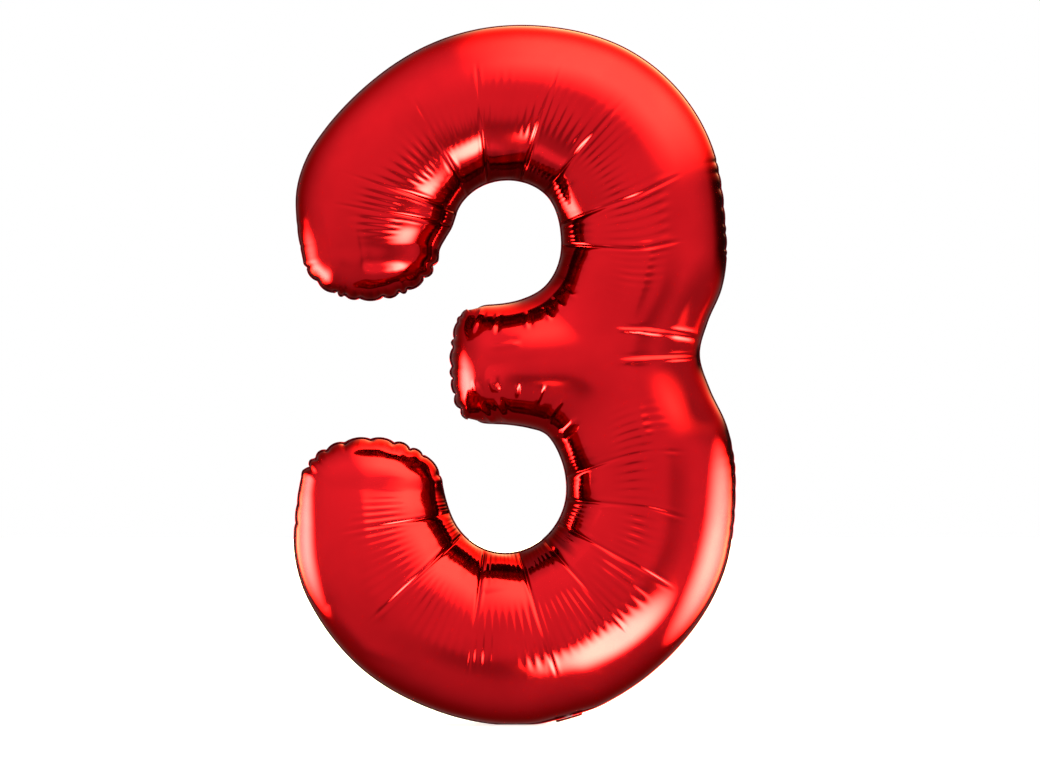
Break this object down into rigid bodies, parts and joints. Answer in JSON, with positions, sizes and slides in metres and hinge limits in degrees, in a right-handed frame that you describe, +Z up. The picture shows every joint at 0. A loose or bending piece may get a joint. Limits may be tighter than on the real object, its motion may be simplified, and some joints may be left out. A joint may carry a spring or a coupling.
{
  "type": "foil balloon",
  "caption": "Filled foil balloon in the shape of a figure three, with puffed front and rear panels, a flat welded edge and a folding neck with a valve sleeve.",
  "frame": {"origin": "middle of the figure's base: below the middle of its width, in the plane of the welded edge, level with its lowest point", "axes": "+Z up along the figure's height, +X to the right as the figure is read, and the welded edge lies in the plane Y = 0 with the front panel facing -Y"},
  "size_m": [0.543, 0.2056, 0.8599],
  "materials": {
    "red_foil": "gloss",
    "welded_foil": "gloss",
    "clear_film": "satin"
  },
  "bodies": {
    "balloon": {"front_panel": "red_foil", "rear_panel": "red_foil", "seal_band": "welded_foil", "valve_film_front": "clear_film", "valve_film_rear": "clear_film"},
    "neck": {"neck_front": "red_foil", "neck_rear": "red_foil", "neck_seal_left": "welded_foil", "neck_seal_right": "welded_foil", "valve_mouth_front": "clear_film", "valve_mouth_rear": "clear_film"}
  },
  "joints": [
    {"name": "neck_fold", "type": "hinge", "parent": "balloon", "child": "neck", "pos_m": [0.06712, 0, 0.00742], "axis": [-0.9622, 0, -0.2725], "range_deg": [0, 208]}
  ]
}
